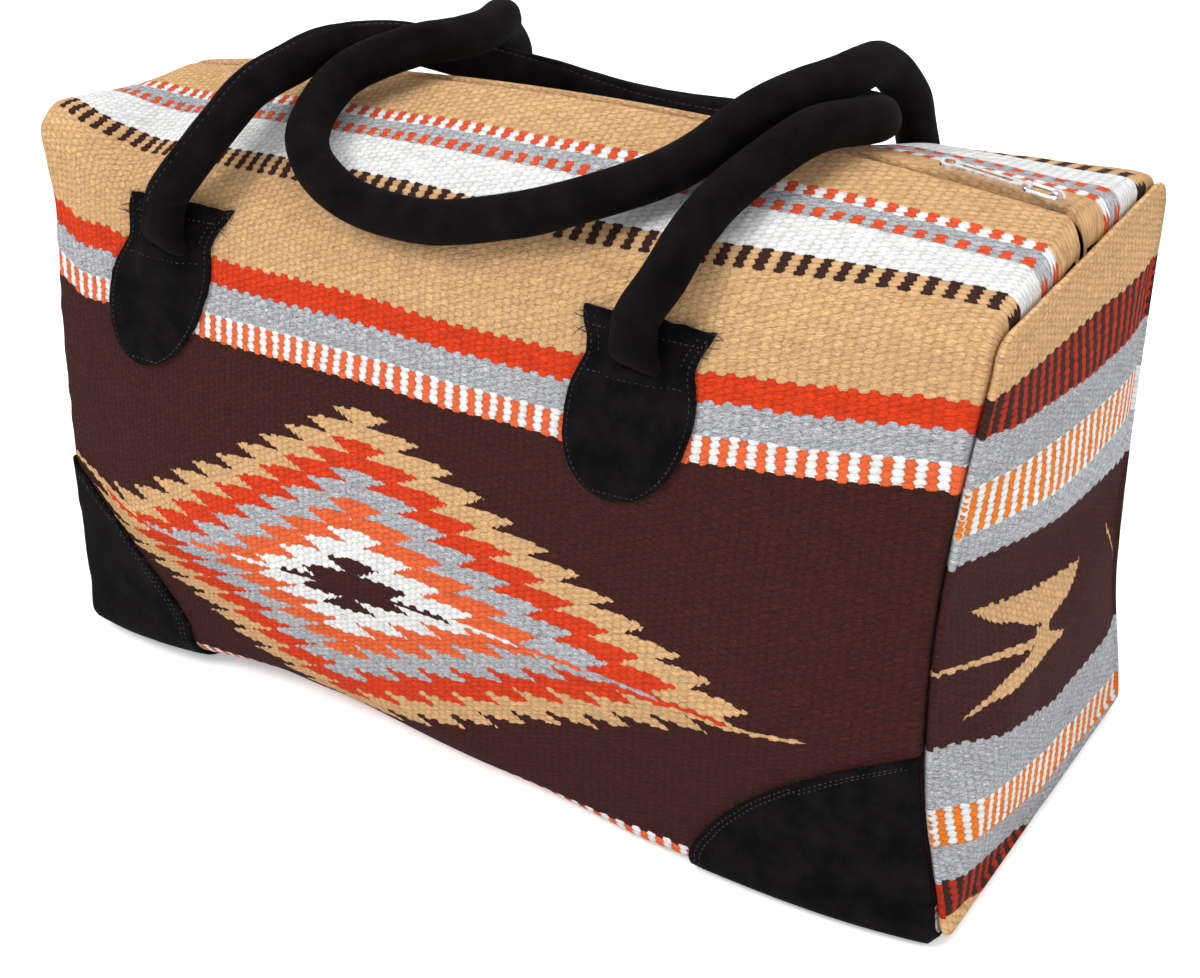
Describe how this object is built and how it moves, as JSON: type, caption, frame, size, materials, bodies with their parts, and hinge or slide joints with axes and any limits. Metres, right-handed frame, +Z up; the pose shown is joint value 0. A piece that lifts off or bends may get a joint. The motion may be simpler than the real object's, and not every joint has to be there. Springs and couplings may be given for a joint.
{
  "type": "travel bag",
  "caption": "Soft travel bag of striped rug cloth with suede corners, a zip along its crowned top and two rolled handles that lie folded over it.",
  "frame": {"origin": "on the floor under the middle of the bag", "axes": "+X along the bag towards the zip slider, +Z up, the front with the woven diamond faces -Y"},
  "size_m": [0.5237, 0.2482, 0.355],
  "materials": {
    "rug_cloth": "coarse striped weave",
    "end_cloth": "coarse striped weave",
    "suede": "napped, raw edges",
    "zip_tape": "fine weave",
    "zip_metal": "polished"
  },
  "bodies": {
    "bag": {"back_handle_end_left": "suede", "back_handle_end_right": "suede", "body_panel": "rug_cloth", "corner_patch_back_left": "suede", "corner_patch_back_right": "suede", "corner_patch_front_left": "suede", "corner_patch_front_right": "suede", "end_panel_left": "end_cloth", "end_panel_right": "end_cloth", "front_handle": "suede", "front_handle_end_left": "suede", "front_handle_end_right": "suede", "handle_patch_back_left": "suede", "handle_patch_back_right": "suede", "handle_patch_front_left": "suede", "handle_patch_front_right": "suede", "zip_stop_left": "zip_metal", "zip_stop_right": "zip_metal", "zip_tape_back": "zip_tape", "zip_tape_front": "zip_tape", "zip_teeth_back": "zip_metal", "zip_teeth_front": "zip_metal"},
    "back_handle": {"back_handle": "suede"},
    "zip_slider": {"zip_slider": "zip_metal"},
    "zip_pull": {"zip_pull_bail": "zip_metal", "zip_pull_bar": "zip_metal"}
  },
  "joints": [
    {"name": "back_handle_swing", "type": "hinge", "parent": "bag", "child": "back_handle", "pos_m": [0.007, 0.107, 0.286], "axis": [1, 0, 0], "range_deg": [-90, 0]},
    {"name": "zip_slide", "type": "hinge", "parent": "bag", "child": "zip_slider", "pos_m": [0.091, 0, -1.329], "axis": [0, 1, 0], "range_deg": [-0.7, 0]},
    {"name": "zip_pull_swing", "type": "hinge", "parent": "zip_slider", "child": "zip_pull", "pos_m": [0.23336, 0, 0.32207], "axis": [0, 1, 0], "range_deg": [0, 170]}
  ]
}
